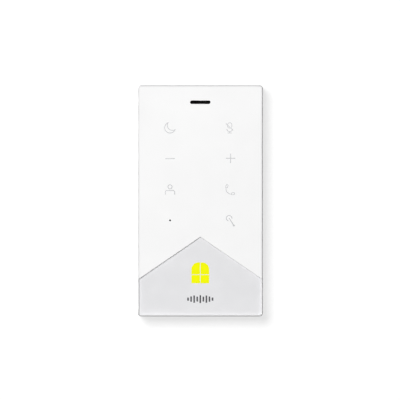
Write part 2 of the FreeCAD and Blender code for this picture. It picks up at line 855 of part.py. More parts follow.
def rounded_path(points):
    """A wire of straight runs joined by tangent arcs that take up most of each run."""
    corners = [Vector(x, -dist, z) for x, dist, z in points]
    edges = []
    start = corners[0]
    for before, bend, after in zip(corners, corners[1:], corners[2:]):
        back = before - bend
        ahead = after - bend
        reach = 0.45 * min(back.Length, ahead.Length)
        back.normalize()
        ahead.normalize()
        enter = bend + back * reach
        leave = bend + ahead * reach
        inward = back + ahead
        inward.normalize()
        across = (enter - leave).Length / 2
        radius = across * reach / (((enter + leave) * 0.5 - bend).Length)
        to_centre = (radius * radius + reach * reach) ** 0.5
        middle = bend + inward * (to_centre - radius)
        edges.append(Part.LineSegment(start, enter).toShape())
        edges.append(Part.Arc(enter, middle, leave).toShape())
        start = leave
    edges.append(Part.LineSegment(start, corners[-1]).toShape())
    return Part.Wire(edges)


def swept(label, points, profile):
    """A solid that carries a flat profile along a rounded path, as a named piece."""
    path = rounded_path(points)
    feature = doc.addObject("Part::Feature", label)
    feature.Shape = path.makePipeShell([profile], True, False)
    feature.Placement = Placement()
    length = path.Length
    section = Part.Face(profile).Area
    if abs(feature.Shape.Volume - length * section) > 0.02 * length * section:
        raise RuntimeError(f"{label}: swept volume does not match its section and length")
    name_piece(label, feature)


def lead(label, points, radius):
    """A round wire along a path; it starts square to its first run."""
    start = Vector(points[0][0], -points[0][1], points[0][2])
    ahead = Vector(points[1][0], -points[1][1], points[1][2]) - start
    swept(label, points, Part.Wire(Part.makeCircle(radius, start, ahead)))


def ribbon(label, x, points, thickness):
    """A flat ribbon over a span of x; its path lies in an upright plane and starts upright."""
    y = -points[0][0]
    z = points[0][1]
    half = thickness / 2
    outline = [(x[0], y - half), (x[1], y - half), (x[1], y + half), (x[0], y + half)]
    corners = [Vector(*corner_point, z) for corner_point in outline]
    profile = Part.makePolygon(corners + corners[:1])
    middle = (x[0] + x[1]) / 2
    swept(label, [(middle, dist, rise) for dist, rise in points], profile)


# ---------------------------------------------------------------- circuit boards

lead_radius = 0.5
ribbon_thickness = 0.15
boss_radius = cell("boss_radius", 2.5)
main_bosses = [(side * 34, size(z)) for side in (-1, 1) for z in (20, 54)]
power_bosses = [(side * 29, size(z)) for side in (-1, 1) for z in (-66, -35)]
jack_half = jack_width / 2
jack_front = jack_back + jack_height
header_half = pole_pitch * pole_count / 2 + 0.8
header_top = header_mouth + 8.2
pin_depth = cell("pin_depth", 6.4)
poles = [header_column + pole_pitch * (index - (pole_count - 1) / 2) for index in range(pole_count)]
reset_x = cell("reset_x", 31)
reset_z = cell("reset_z", 35)
tin_radius = cell("tin_radius", 3.1)


def terminal_pins():
    """Bent square pins of the terminal header, from the plug side through the main board."""
    pins = []
    for x in poles:
        upright = block(around(x, 0.5), around(pin_depth, 0.5), (header_mouth + 1.4, header_mouth + 7.4))
        tail = block(around(x, 0.5), (pin_depth, 12.1), (header_mouth + 6.4, header_mouth + 7.4))
        pins.append(fuse(upright, tail))
    return name_piece("terminal_pins", group(*pins))


def terminal_header(pins):
    """Shrouded header that takes the plug from below."""
    body = block(around(header_column, header_half), (2.8, main_back), (header_mouth, header_top))
    hollow = block(around(header_column, header_half - 0.7), (3.6, 9.2),
                   (header_mouth, header_mouth + 5.4))
    name_piece("terminal_header", cut(body, hollow, pins))


def terminal_plug():
    """Pull-off screw terminal plug with a wire entry, a clamp and a screw for each pole."""
    nose = block(around(header_column, header_half - 0.9), (3.8, 9),
                 (header_mouth - 0.5, header_mouth + 5.2))
    low = header_mouth - 9.6
    screw_row = low + 3.8
    cage_span = (low + 1.8, low + 6)
    main = block(around(header_column, header_half - 0.2), (2, 9.8), (low, header_mouth - 0.4))
    tools = []
    screws = []
    clamps = []
    for x in poles:
        pin_room = (header_mouth + 0.8, header_mouth + 6)
        tools.append(block(around(x, 0.75), around(pin_depth, 0.75), pin_room))
        tools.append(rod(x, pin_depth, 1.3, (low, low + 6.2)))
        tools.append(disc(x, screw_row, 1.5, (2, pin_depth)))
        slot = block(around(x, 1.4), (2.5, 3.1), around(screw_row, 0.25))
        screws.append(cut(disc(x, screw_row, 1.4, (2.5, pin_depth - 1)), slot))
        cage = block(around(x, 0.88), around(pin_depth, 0.88), cage_span)
        clamps.append(cut(cage, block(around(x, 0.6), around(pin_depth, 0.6), cage_span)))
    name_piece("terminal_plug", cut(fuse(nose, main), *tools))
    name_piece("terminal_plug_screws", group(*screws))
    name_piece("terminal_clamps", group(*clamps))


def main_board(pins):
    """Main circuit board with its jack notch, header tab and the parts on both faces."""
    board = Moulding("main_board_blank")
    span = (main_back, main_front)
    board.add(span, rounded((-36.5, 36.5), (17, 56.5), 1))
    tab = rounded(around(header_column, header_half), (header_mouth + 0.5, 20), 0.5)
    board.add(span, tab)
    notch = around(jack_column, jack_half + 0.2)
    board.remove(span, rounded(notch, (10, jack_mouth + jack_length + 0.2), 0.3))
    board.remove(span, *[circle(x, z, 1.1) for x, z in main_bosses])
    name_piece("main_board", cut(board.body, pins))
    name_piece("processor", block(around(19, 5.5), (main_front, main_front + 1.2), around(33, 5.5)))
    can = Moulding("shield_can")
    can.add((main_front, main_front + 2), rounded((-8, 9), (25, 43), 0.8))
    can.remove((main_front, main_front + 1.7), rounded((-7.7, 8.7), (25.3, 42.7), 0.5))
    name_piece("shield_can", can.body)
    name_piece("network_transformer", block(around(jack_column, 6.4), (main_front, main_front + 2.4),
                                            (38, 52)))
    tins = [fuse(disc(x, z, tin_radius, (4.6, main_back)),
                 block(around(x, 3.3), (9, main_back), around(z, 3.3)))
            for x, z in ((3, 26), (11, 26), (3, 35), (11, 35))]
    name_piece("main_capacitors", group(*tins))
    front_span = (main_front, main_front + 0.8)
    chips = [block(around(14 + 3 * index, 0.9), front_span, around(44, 0.5)) for index in range(4)]
    chips += [block(around(-10.2, 0.6), front_span, around(28 + 3 * index, 1)) for index in range(5)]
    chips += [block(around(19, 2.5), front_span, around(23.5, 2)),
              block(around(30, 2), front_span, around(44, 2.5))]
    name_piece("main_board_chips", group(*chips))


def connectors():
    """Ribbon and speaker connectors with the ribbons and leads between the boards."""
    seats = [block((-9, 2), (main_front, main_front + 1.2), (46.5, 50)),
             block((-9, 2), (touch_back - 1, touch_back), (48, 51.5)),
             block((-10, 0), (main_front, main_front + 1.2), (19, 22.5)),
             block((-10, 0), (power_front, power_front + 1.2), (-38, -34.5))]
    name_piece("ribbon_connectors", group(*seats))
    name_piece("speaker_connector", block((18.6, 24), (main_front, main_front + 2.4), (50.5, 54.5)))
    touch_route = [(12.2, 50), (12.2, 54.5), (14.8, 54.5), (14.8, 51.5)]
    ribbon("touch_ribbon", (-8, 1), touch_route, ribbon_thickness)
    link_route = [(10.8, -34.5), (10.8, -31.8), (14.25, -30.3),
                  (14.25, 16.9), (12.2, 17.7), (12.2, 19)]
    ribbon("board_link_ribbon", (-9, -1), link_route, ribbon_thickness)
    red_route = [(16.2, 12.4, 66.4), (18.4, 12.4, 66.4), (20.4, 12.6, 63.8),
                 (20.3, 12.8, 59), (20.2, 12.8, 54.5)]
    lead("speaker_lead_red", red_route, lead_radius)
    black_route = [(16.2, 12.4, 68.8), (19.4, 12.4, 68.8), (22.3, 12.6, 65.4),
                   (22.5, 12.8, 60), (22.4, 12.8, 54.5)]
    lead("speaker_lead_black", black_route, lead_radius)


def network_jack():
    """Shielded eight-way network jack whose mouth looks down into the cable bay."""
    mouth = jack_mouth
    end = jack_mouth + jack_length
    shell = block(around(jack_column, jack_half), (jack_back, jack_front), (mouth, end))
    inside = block(around(jack_column, jack_half - 0.35), (jack_back + 0.35, jack_front - 0.35),
                   (mouth, end - 0.35))
    name_piece("network_jack_shell", cut(shell, inside))
    insert = block(around(jack_column, jack_half - 0.4), (jack_back + 0.4, jack_front - 0.4),
                   (mouth + 0.3, end - 0.4))
    port_front = jack_back + 8.4
    port = block(around(jack_column, 5.95), (jack_back + 1.7, port_front),
                 (mouth + 0.3, mouth + 13.3))
    latch = block(around(jack_column, 3.1), (port_front, port_front + 1.8), (mouth + 0.3, mouth + 8))
    name_piece("network_jack_insert", cut(insert, port, latch))
    pitch = 1.02
    wires = [block(around(jack_column + pitch * (index - 3.5), 0.18), (jack_back + 2.5, jack_back + 2.8),
                   (mouth + 2, mouth + 13.3)) for index in range(8)]
    name_piece("network_jack_contacts", group(*wires))


def reset_switch():
    """Reset switch behind the pinhole in the back, with its moving button."""
    base = block(around(reset_x, 3), (6.6, main_back), around(reset_z, 3))
    name_piece("reset_switch_base", cut(base, disc(reset_x, reset_z, 1.6, (6.6, 8.3))))
    name_piece("reset_button", disc(reset_x, reset_z, 1.5, (4.2, 7.7)))


def power_board():
    """Supply board below the cable bay with its transformer, coils and capacitors."""
    board = Moulding("power_board")
    board.add((power_back, power_front), rounded((-32.5, 32.5), (-69, -32), 1))
    board.remove((power_back, power_front), *[circle(x, z, 1.1) for x, z in power_bosses])
    name_piece("power_board", board.body)
    core = block((-28, -13), (power_front, 15.4), (-61, -46))
    winding = block((-29.5, -11.5), (power_front + 1, 14.4), (-58.5, -48.5))
    name_piece("power_transformer", fuse(core, winding))
    coils = [disc(x, z, 3.6, (power_front, 13.4)) for x, z in ((16, -62), (25, -56))]
    name_piece("power_coils", group(*coils))
    tins = [disc(x, z, tin_radius, (power_front, 15.2)) for x, z in ((14, -40), (22, -42), (14, -50))]
    name_piece("power_capacitors", group(*tins))


# ---------------------------------------------------------------- rear cover, bracket and screws

cover_half = cell("cover_half", 41.8)
cover_rise = cell("cover_rise", 78.3)
lip_half = inner_half - fit_gap
lip_rise = inner_rise - fit_gap
lip_wall = cell("lip_wall", 1.2)
insert_radius = cell("insert_radius", 2.1)
boss_bore = cell("boss_bore", 5)
head_back = cell("head_back", 0.95)
head_seat = cell("head_seat", 2.4)
board_head = 1.4


def rear_cover():
    """Back shell: lip, bracket recess, hook slots, cable bay, bosses, vents and lock notch."""
    shell = Moulding("rear_cover")
    shell.add((cover_back, split), rounded((-cover_half, cover_half), (-cover_rise, cover_rise), 2))
    shell.add((split, lip_front), rounded((-lip_half, lip_half), (-lip_rise, lip_rise), 1))
    shell.remove((cover_wall, lip_front), rounded((lip_wall - lip_half, lip_half - lip_wall),
                                                  (lip_wall - lip_rise, lip_rise - lip_wall), 0.8))
    bay = (-bay_half, bay_half), (bay_bottom, bay_top)
    shell.add((pocket_floor, bay_front), rounded(*bay, 1.5))
    shell.remove((cover_back, bay_floor), rounded(grown(bay[0], -bay_wall), grown(bay[1], -bay_wall), 1))
    recess = (-bracket_half - 0.5, bracket_half + 0.5), (-bracket_rise - 8.5, bracket_rise + 0.5)
    shell.remove((cover_back, pocket_floor), rounded(*recess, 3.2))
    shell.add((pocket_floor, 9.4), rectangle((-10.5, 10.5), (-lip_rise, notch_top + 1.6)))
    shell.add((pocket_floor, 8.4), rectangle((-3.6, 3.6), (notch_top + 0.2, notch_top + 7.5)))
    shell.remove((cover_back, 8), rectangle((-9, 9), (-cover_rise - 1, notch_top)))
    shell.remove((cover_back, pocket_floor), rectangle((-9, 9), (notch_top - 1, notch_top + 6)))
    shell.bore(0, lock_depth, insert_radius, (notch_top - 0.5, notch_top + 4))
    shell.bore(0, lock_depth, lock_radius + 0.2, (notch_top, notch_top + 7))
    jack_room = rectangle(around(jack_column, jack_half + 0.6),
                          (jack_mouth - 0.4, jack_mouth + jack_length + 0.6))
    shell.remove((cover_back, jack_front + 0.2), jack_room)
    header_room = rectangle(around(header_column, header_half + 0.3), (bay_top - 1.6, header_top + 0.4))
    shell.remove((cover_back, 12.2), header_room)
    hooks = both_signs(hook_column, hook_row)
    slots = [rectangle(around(x, hook_width / 2 + 0.4), (z - 6.3, z + plate_front + 0.05))
             for x, z in hooks]
    shell.remove((pocket_floor, cover_wall), *slots)
    shell.add((cover_wall - 0.2, main_back), *[circle(x, z, boss_radius) for x, z in main_bosses])
    shell.add((cover_wall - 0.2, power_back), *[circle(x, z, boss_radius) for x, z in power_bosses])
    shell.remove((boss_bore, main_back), *[circle(x, z, 1) for x, z in main_bosses + power_bosses])
    posts = both_signs(post_column, post_row)
    shell.remove((cover_back, head_seat), *[circle(x, z, 2.8) for x, z in posts])
    shell.remove((head_seat, cover_wall), *[circle(x, z, screw_radius + 0.2) for x, z in posts])
    shell.remove((pocket_floor, cover_wall), circle(reset_x, reset_z, 1.1))
    vents = [rounded(around(size(4 * index), 0.8), (66, 74), 0.75) for index in range(-4, 5)]
    shell.remove((cover_back, cover_wall), *vents)
    shell.round_edges(0.5, on_frame(cover_back, cover_half, cover_rise))
    name_piece("rear_cover", shell.body)


def wall_bracket():
    """Steel plate for the wall: screw slots, four hooks, cable windows and the locking tongue."""
    plate = Moulding("wall_bracket")
    flat = (0, plate_front)
    plate.add(flat, rounded((-bracket_half, bracket_half), (-bracket_rise, bracket_rise), 3))
    plate.remove(flat, rounded((-22, 22), (-26, 26), 2))
    plate.remove(flat, *[rounded((-18, 18), around(side * bracket_half, 9), 2) for side in (-1, 1)])
    plate.remove(flat, *[pill(side * screw_reach, 0, slot_long, slot_wide) for side in (-1, 1)])
    hooks = both_signs(hook_column, hook_row)
    half = hook_width / 2
    plate.remove(flat, *[rectangle(around(x, half), (z - 5, z)) for x, z in hooks])
    plate.add((0, 5.1), *[rectangle(around(x, half), (z, z + plate_front)) for x, z in hooks])
    plate.add((3.9, 5.1), *[rectangle(around(x, half), (z + 0.2, z + hook_rise)) for x, z in hooks])
    flange_low = notch_top - 0.2 - plate_front
    plate.add(flat, rectangle((-8, 8), (flange_low, -bracket_rise + 2)))
    plate.add((0, 7.6), rectangle((-8, 8), (flange_low, notch_top - 0.2)))
    plate.bore(0, lock_depth, lock_radius + 0.2, (flange_low - 0.1, notch_top - 0.1))
    name_piece("wall_bracket", plate.body)


def lock_screw():
    """Machine screw that locks the tongue to the housing from below."""
    head_top = notch_top - 0.2 - plate_front
    head = rod(0, lock_depth, 2.7, (head_top - 2, head_top))
    shank = rod(0, lock_depth, lock_radius, (head_top, head_top + 8))
    deep = (head_top - 2, head_top - 0.9)
    cross = [block((-1.6, 1.6), around(lock_depth, 0.3), deep),
             block((-0.3, 0.3), around(lock_depth, 1.6), deep)]
    name_piece("lock_screw", cut(fuse(head, shank), *cross))
    sleeve = rod(0, lock_depth, insert_radius, (notch_top, notch_top + 4))
    hole = rod(0, lock_depth, lock_radius + 0.05, (notch_top, notch_top + 4))
    name_piece("lock_insert", cut(sleeve, hole))


def cross_screw(x, z, head, shank, sunk):
    """A cross-recessed screw square to the wall; sunk is the span of depth of the recess."""
    body = fuse(disc(x, z, *head), disc(x, z, *shank))
    arms = [block(around(x, 1.4), sunk, around(z, 0.28)), block(around(x, 0.28), sunk, around(z, 1.4))]
    return cut(body, *arms)


def screws():
    """Screws that close the case from behind and hold the two boards from the front."""
    closing = [cross_screw(x, z, (2.5, (head_back, head_seat)), (screw_radius, (head_seat, 9.5)),
                           (head_back, head_seat - 0.6)) for x, z in both_signs(post_column, post_row)]
    name_piece("case_screws", group(*closing))
    holding = []
    for seat, bosses in ((main_front, main_bosses), (power_front, power_bosses)):
        top = seat + board_head
        holding += [cross_screw(x, z, (2, (seat, top)), (0.95, (boss_bore + 0.5, seat)),
                                (top - 0.8, top)) for x, z in bosses]
    name_piece("board_screws", group(*holding))


# ---------------------------------------------------------------- build, check and write

def build():
    """Make every sub-part."""
    front_housing()
    symbols = touch_symbols()
    touch_panel(symbols)
    guide_body = window_light_guide()
    lower_panel(guide_body, panel_mark())
    adhesives()
    touch_film()
    light_mask()
    touch_board()
    microphone()
    window_lamp()
    speaker()
    pins = terminal_pins()
    terminal_header(pins)
    terminal_plug()
    main_board(pins)
    connectors()
    network_jack()
    reset_switch()
    power_board()
    rear_cover()
    wall_bracket()
    lock_screw()
    screws()
    doc.recompute()


def check():
    """Stop if any object failed or any sub-part has no valid shape."""
    for feature in doc.Objects:
        if "Invalid" in feature.State or "Error" in feature.State:
            raise RuntimeError(f"{feature.Label} ({feature.Name}) is {feature.State}")
    for label, feature in pieces.items():
        if feature.Label != label:
            raise RuntimeError(f"{label} was renamed to {feature.Label}")
        if feature.Shape.isNull() or not feature.Shape.isValid() or not feature.Shape.Solids:
            raise RuntimeError(f"{label} has no valid solid")


def write():
    """Write one STEP file for each sub-part."""
    os.makedirs("parts", exist_ok=True)
    for label, feature in pieces.items():
        feature.Shape.exportStep(f"parts/{label}.step")
        print(f"{label:24s} {len(feature.Shape.Solids):3d} solids {feature.Shape.Volume:10.1f} mm3")


build()
check()
write()
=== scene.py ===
"""Looks, light and camera of the touch intercom station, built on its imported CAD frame.

Everything is in metres in the frame of the part: the wall is the plane y = 0, the front faces
-Y, +X is right as seen from the front and +Z is up.
"""

import json
import math

import bpy
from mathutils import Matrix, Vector


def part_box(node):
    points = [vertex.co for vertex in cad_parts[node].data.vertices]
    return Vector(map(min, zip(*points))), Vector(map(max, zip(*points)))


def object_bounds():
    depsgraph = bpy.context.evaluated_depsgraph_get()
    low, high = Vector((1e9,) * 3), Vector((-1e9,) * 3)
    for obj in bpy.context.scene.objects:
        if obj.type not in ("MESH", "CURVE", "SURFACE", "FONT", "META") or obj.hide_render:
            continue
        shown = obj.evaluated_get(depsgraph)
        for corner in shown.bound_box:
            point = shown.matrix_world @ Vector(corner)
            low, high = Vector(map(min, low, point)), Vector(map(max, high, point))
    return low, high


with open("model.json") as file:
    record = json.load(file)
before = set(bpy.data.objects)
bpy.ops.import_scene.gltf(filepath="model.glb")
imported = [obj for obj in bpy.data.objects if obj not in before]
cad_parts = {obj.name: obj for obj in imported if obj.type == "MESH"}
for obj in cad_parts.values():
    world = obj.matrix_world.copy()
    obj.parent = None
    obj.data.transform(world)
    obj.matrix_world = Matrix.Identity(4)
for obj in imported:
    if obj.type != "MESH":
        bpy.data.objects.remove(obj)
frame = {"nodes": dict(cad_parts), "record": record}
cad_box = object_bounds()
nodes = frame["nodes"]
low, high = cad_box
MM = 0.001


# ---------------------------------------------------------------- node materials

def linear(*channels):
    """A colour given in display values from 0 to 255, as scene-linear RGBA."""
    def decode(value):
        value = value / 255
        return value / 12.92 if value <= 0.04045 else ((value + 0.055) / 1.055) ** 2.4
    return tuple(decode(value) for value in channels) + (1.0,)


def shade(colour, factor):
    """The same colour, lighter or darker by a factor."""
    return tuple(min(1.0, channel * factor) for channel in colour[:3]) + (1.0,)


class Look:
    """A node material round one Principled shader, in object coordinates in metres."""

    def __init__(self, name, roughness, metallic=0.0, **sockets):
        self.material = bpy.data.materials.new(name)
        self.material.use_nodes = True
        self.tree = self.material.node_tree
        self.shader = self.tree.nodes["Principled BSDF"]
        self.shader.inputs["Roughness"].default_value = roughness
        self.shader.inputs["Metallic"].default_value = metallic
        for socket, value in sockets.items():
            self.shader.inputs[socket.replace("_", " ")].default_value = value
        self.place = self.tree.nodes.new("ShaderNodeTexCoord").outputs["Object"]

    def feed(self, socket, value):
        """Set one socket to a value, or link it to an output."""
        if isinstance(value, bpy.types.NodeSocket):
            self.tree.links.new(value, socket)
        else:
            socket.default_value = value

    def node(self, kind, **inputs):
        """A new node with its inputs set to values or linked to outputs."""
        made = self.tree.nodes.new(kind)
        for name, value in inputs.items():
            self.feed(made.inputs[name.replace("_", " ")], value)
        return made

    def math(self, operation, first, second=0.0):
        """One arithmetic step."""
        made = self.tree.nodes.new("ShaderNodeMath")
        made.operation = operation
        for socket, value in zip(made.inputs, (first, second)):
            self.feed(socket, value)
        return made.outputs["Value"]

    def axis(self, name):
        """One object coordinate, in metres."""
        return self.node("ShaderNodeSeparateXYZ", Vector=self.place).outputs[name]

    def stretched(self, x, y, z):
        """Coordinates scaled along each axis, for grain that runs one way."""
        made = self.node("ShaderNodeMapping", Vector=self.place, Scale=(x, y, z))
        return made.outputs["Vector"]

    def noise(self, scale, detail=3.0, roughness=0.5, vector=None):
        """Noise whose grain is about 1 / scale metres."""
        made = self.node("ShaderNodeTexNoise", Vector=vector or self.place, Scale=scale,
                         Detail=detail, Roughness=roughness)
        return made.outputs["Fac"]

    def cells(self, scale, output="Distance"):
        """Cells about 1 / scale metres across."""
        return self.node("ShaderNodeTexVoronoi", Vector=self.place, Scale=scale).outputs[output]

    def spread(self, value, start, end, low_value, high_value):
        """Map a value from start..end to low_value..high_value, clamped."""
        made = self.node("ShaderNodeMapRange", Value=value, From_Min=start, From_Max=end,
                         To_Min=low_value, To_Max=high_value)
        return made.outputs["Result"]

    def near_edge(self, half_x, half_z, width):
        """A mask that rises to 1 within a width of an upright rectangle's outline."""
        distances = self.math("ABSOLUTE", self.axis("X")), self.math("ABSOLUTE", self.axis("Z"))
        across, up = (self.spread(distance, half - width, half, 0, 1)
                      for distance, half in zip(distances, (half_x, half_z)))
        return self.math("MAXIMUM", across, up)

    def paint(self, value, *stops):
        """Colour the surface by a value, with a ramp over (position, colour) stops."""
        ramp = self.node("ShaderNodeValToRGB", Fac=value)
        for element, (position, colour) in zip(ramp.color_ramp.elements, stops):
            element.position = position
            element.color = colour
        self.feed(self.shader.inputs["Base Color"], ramp.outputs["Color"])

    def polish(self, value, start, end, low_value, high_value):
        """Vary the roughness with a value."""
        self.feed(self.shader.inputs["Roughness"],
                  self.spread(value, start, end, low_value, high_value))

    def bump(self, height, depth, strength=1.0):
        """Raise the surface by a height map, on top of the bumps already there."""
        made = self.node("ShaderNodeBump", Height=height, Distance=depth, Strength=strength)
        normal = self.shader.inputs["Normal"]
        if normal.is_linked:
            self.feed(made.inputs["Normal"], normal.links[0].from_socket)
        self.feed(normal, made.outputs["Normal"])


# Noise scales that several looks share: a scale of s gives marks about 1 / s metres across.
SLOW_TONE = 38
HANDLING = 90
WAVINESS = 160
DULL_PATCHES = 120


def moulded(name, colour, roughness=0.42, grain=5500, depth=0.012 * MM, variation=0.03,
            **sockets):
    """Moulded plastic: fine spark-eroded grain, slow tone changes and handled patches."""
    look = Look(name, roughness, **sockets)
    look.paint(look.noise(SLOW_TONE, 2), (0.3, shade(colour, 1 - variation)),
               (0.7, shade(colour, 1 + variation)))
    look.polish(look.noise(HANDLING, 4, 0.6), 0.35, 0.7, roughness - 0.07, roughness + 0.08)
    look.bump(look.noise(grain, 2), depth)
    look.bump(look.noise(WAVINESS, 2), depth * 1.5, 0.3)
    return look


def board_green(name):
    """Solder mask over copper: traces show as a faint relief and a lighter green."""
    mask_green, trace_green = (0.006, 0.07, 0.03, 1), (0.02, 0.16, 0.07, 1)
    look = Look(name, 0.46, Specular_IOR_Level=0.25)
    lanes = look.node("ShaderNodeTexBrick", Vector=look.place, Scale=420, Mortar_Size=0.09,
                      Mortar_Smooth=0.3)
    crowded = look.spread(look.noise(70, 2), 0.45, 0.55, 0, 1)
    traces = look.math("MULTIPLY", lanes.outputs["Fac"], crowded)
    look.paint(traces, (0.0, mask_green), (0.8, trace_green))
    look.polish(look.noise(240, 3), 0.3, 0.7, 0.4, 0.52)
    look.bump(traces, 0.03 * MM)
    return look


def metal(name, colour, roughness=0.3, grain=(900, 900, 40), depth=0.01 * MM):
    """Plated or brushed metal with grain along one axis, dull patches and fine scratches."""
    look = Look(name, roughness, metallic=1.0)
    scratches = look.noise(1.0, 4, 0.6, look.stretched(*grain))
    look.paint(scratches, (0.3, shade(colour, 0.82)), (0.7, shade(colour, 1.08)))
    look.polish(look.noise(DULL_PATCHES, 4), 0.3, 0.75, roughness - 0.08, roughness + 0.14)
    look.bump(scratches, depth)
    return look


def galvanised(name):
    """Zinc-coated sheet: spangle cells of differing brightness, rolled grain and dull stains."""
    spangle_share, stain_share = 0.55, 0.45
    look = Look(name, 0.48, metallic=0.5)
    tone = look.node("ShaderNodeSeparateColor", Color=look.cells(480, "Color")).outputs["Red"]
    blended = look.math("ADD", look.math("MULTIPLY", tone, spangle_share),
                        look.math("MULTIPLY", look.noise(60, 4), stain_share))
    look.paint(blended, (0.2, linear(186, 188, 190)), (0.8, linear(206, 208, 210)))
    look.polish(tone, 0.0, 1.0, 0.44, 0.54)
    look.bump(look.noise(1.0, 3, 0.5, look.stretched(2600, 2600, 120)), 0.006 * MM)
    look.bump(tone, 0.003 * MM)
    return look


def yellow_light(name):
    """Clear yellow guide, its backlight a painted glow: each of its four panes is brightest at its
    middle.
    """
    pane_x, pane_z, glow_reach, brightness = 3 * MM, 3.5 * MM, 6 * MM, 0.56
    colour = linear(246, 249, 0)
    body = shade(colour, 0.5)
    look = Look(name, 0.55, IOR=1.49, Specular_IOR_Level=0.05, Emission_Color=colour)
    guide_low, guide_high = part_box("window_light_guide")
    middle = (guide_low + guide_high) / 2
    rise = look.math("SUBTRACT", look.axis("Z"), middle[2])
    across = look.math("SUBTRACT", look.math("ABSOLUTE", look.axis("X")), pane_x)
    up = look.math("SUBTRACT", look.math("ABSOLUTE", rise), pane_z)
    squares = [look.math("POWER", offset, 2.0) for offset in (across, up)]
    # painted glow: emission that fades out from each pane's middle, standing in for the lamp
    # shining through from behind
    painted_glow = look.spread(look.math("SQRT", look.math("ADD", *squares)), 0.0, glow_reach, 1.0, 0.86)
    grain = look.spread(look.noise(1400, 2), 0.3, 0.7, 0.98, 1.02)
    strength = look.math("MULTIPLY", look.math("MULTIPLY", painted_glow, grain), brightness)
    look.feed(look.shader.inputs["Emission Strength"], strength)
    look.paint(look.noise(300, 2), (0.3, shade(body, 0.97)), (0.7, body))
    look.bump(look.noise(2600, 2), 0.004 * MM)
    return look


def front_white(name):
    """Satin white front sheet: even tone, faint smudges in the gloss, micro texture."""
    look = Look(name, 0.5, Specular_IOR_Level=0.35)
    base = linear(250, 250, 250)
    look.paint(look.noise(25, 2), (0.3, shade(base, 0.992)), (0.7, shade(base, 1.004)))
    smudge = look.math("MULTIPLY", look.noise(70, 5, 0.65), look.noise(22, 2))
    look.polish(smudge, 0.12, 0.4, 0.46, 0.58)
    look.bump(look.noise(7000, 2), 0.005 * MM, 0.6)
    return look


def housing_white(name):
    """White housing: fine grain, a trace of handling along the outer rim."""
    look = Look(name, 0.5, Specular_IOR_Level=0.4)
    base = linear(246, 246, 246)
    rubbed = look.spread(look.noise(220, 5, 0.7), 0.45, 0.7, 0, 1)
    worn = look.math("MULTIPLY", look.near_edge(high[0], high[2], 1.2 * MM), rubbed)
    look.paint(worn, (0.0, base), (1.0, shade(base, 0.93)))
    look.polish(worn, 0, 1, 0.52, 0.38)
    look.bump(look.noise(6000, 2), 0.012 * MM)
    look.bump(look.noise(150, 2), 0.01 * MM, 0.3)
    return look


def lamp(name):
    """Lamp package: pale body with a yellow phosphor spot."""
    look = Look(name, 0.35, Coat_Weight=0.4)
    look.paint(look.cells(500), (0.3, linear(240, 214, 80)), (0.6, linear(238, 236, 226)))
    look.bump(look.noise(3000, 2), 0.01 * MM)
    return look


def wound(name, colour):
    """Wound coil or taped core: fine turns round the part."""
    look = Look(name, 0.4, Coat_Weight=0.3)
    turns = look.node("ShaderNodeTexWave", Vector=look.place, Scale=900, Distortion=1.2,
                      Detail=2).outputs["Fac"]
    look.paint(turns, (0.2, shade(colour, 0.6)), (0.8, shade(colour, 1.15)))
    look.bump(turns, 0.05 * MM)
    return look


def knurled(name, colour):
    """Brass with a knurl pressed into its surface."""
    look = metal(name, colour, 0.28, (1600, 1600, 200))
    knurl = look.node("ShaderNodeTexWave", Vector=look.place, Scale=700)
    knurl.bands_direction = "DIAGONAL"
    look.bump(knurl.outputs["Fac"], 0.06 * MM)
    return look


# Plastics, films, rubber and paint: display colour, roughness, grain scale, grain depth in mm,
# tone variation, and the specular level where it isn't the usual 0.5.
PLASTICS = {
    "symbol_grey": ((190, 191, 193), 0.4, 6000, 0.006, 0.02),
    "grey_panel": ((231, 231, 233), 0.52, 6500, 0.01, 0.008, 0.35),
    "mark_grey": ((84, 84, 88), 0.6, 6000, 0.006, 0.05, 0.2),
    "adhesive": ((226, 222, 206), 0.6, 3000, 0.01, 0.04),
    "clear_film": ((214, 220, 222), 0.2, 4000, 0.003, 0.02),
    "black_mask": ((26, 26, 28), 0.6, 4000, 0.015, 0.1),
    "chip_black": ((30, 30, 32), 0.6, 5000, 0.012, 0.12, 0.2),
    "black_rubber": ((24, 24, 24), 0.7, 3500, 0.02, 0.12),
    "white_reflector": ((244, 244, 240), 0.35, 4000, 0.008, 0.02),
    "speaker_black": ((20, 20, 21), 0.5, 4500, 0.012, 0.1),
    "cone_film": ((16, 16, 17), 0.45, 3500, 0.006, 0.08, 0.1),
    "black_foam": ((16, 16, 17), 0.85, 2600, 0.06, 0.2, 0.1),
    # mesh_black: a black mesh, made near-totally black with no specular so that it also stands in
    # for the painted shade inside the slot in front of it
    "mesh_black": ((3, 3, 3), 0.8, 5200, 0.012, 0.15, 0.0),
    "connector_ivory": ((228, 220, 192), 0.45, 4500, 0.01, 0.04),
    "ribbon_white": ((222, 224, 228), 0.3, 5000, 0.004, 0.02),
    "wire_red": ((176, 24, 20), 0.45, 3500, 0.012, 0.08),
    "wire_black": ((22, 22, 22), 0.45, 3500, 0.012, 0.1),
    "jack_black": ((24, 24, 26), 0.5, 4500, 0.014, 0.1),
    "terminal_green": ((36, 128, 62), 0.42, 4500, 0.014, 0.07),
    "button_black": ((30, 30, 32), 0.4, 4500, 0.01, 0.1),
    "coil_dark": ((48, 48, 50), 0.5, 3000, 0.02, 0.15),
    "rear_plastic": ((236, 236, 235), 0.5, 3600, 0.03, 0.015),
}

# Metals: linear colour, roughness, and the grain along each axis where it isn't the usual one.
METALS = {
    "can_steel": ((0.74, 0.74, 0.72), 0.26),
    "magnet_steel": ((0.34, 0.34, 0.35), 0.4, (700, 700, 700)),
    "can_aluminium": ((0.78, 0.79, 0.8), 0.24, (60, 900, 900)),
    "gold_contact": ((0.86, 0.66, 0.26), 0.2, (900, 900, 60)),
    "pin_tin": ((0.72, 0.72, 0.7), 0.28),
    "screw_steel": ((0.72, 0.72, 0.71), 0.26, (500, 500, 500)),
}

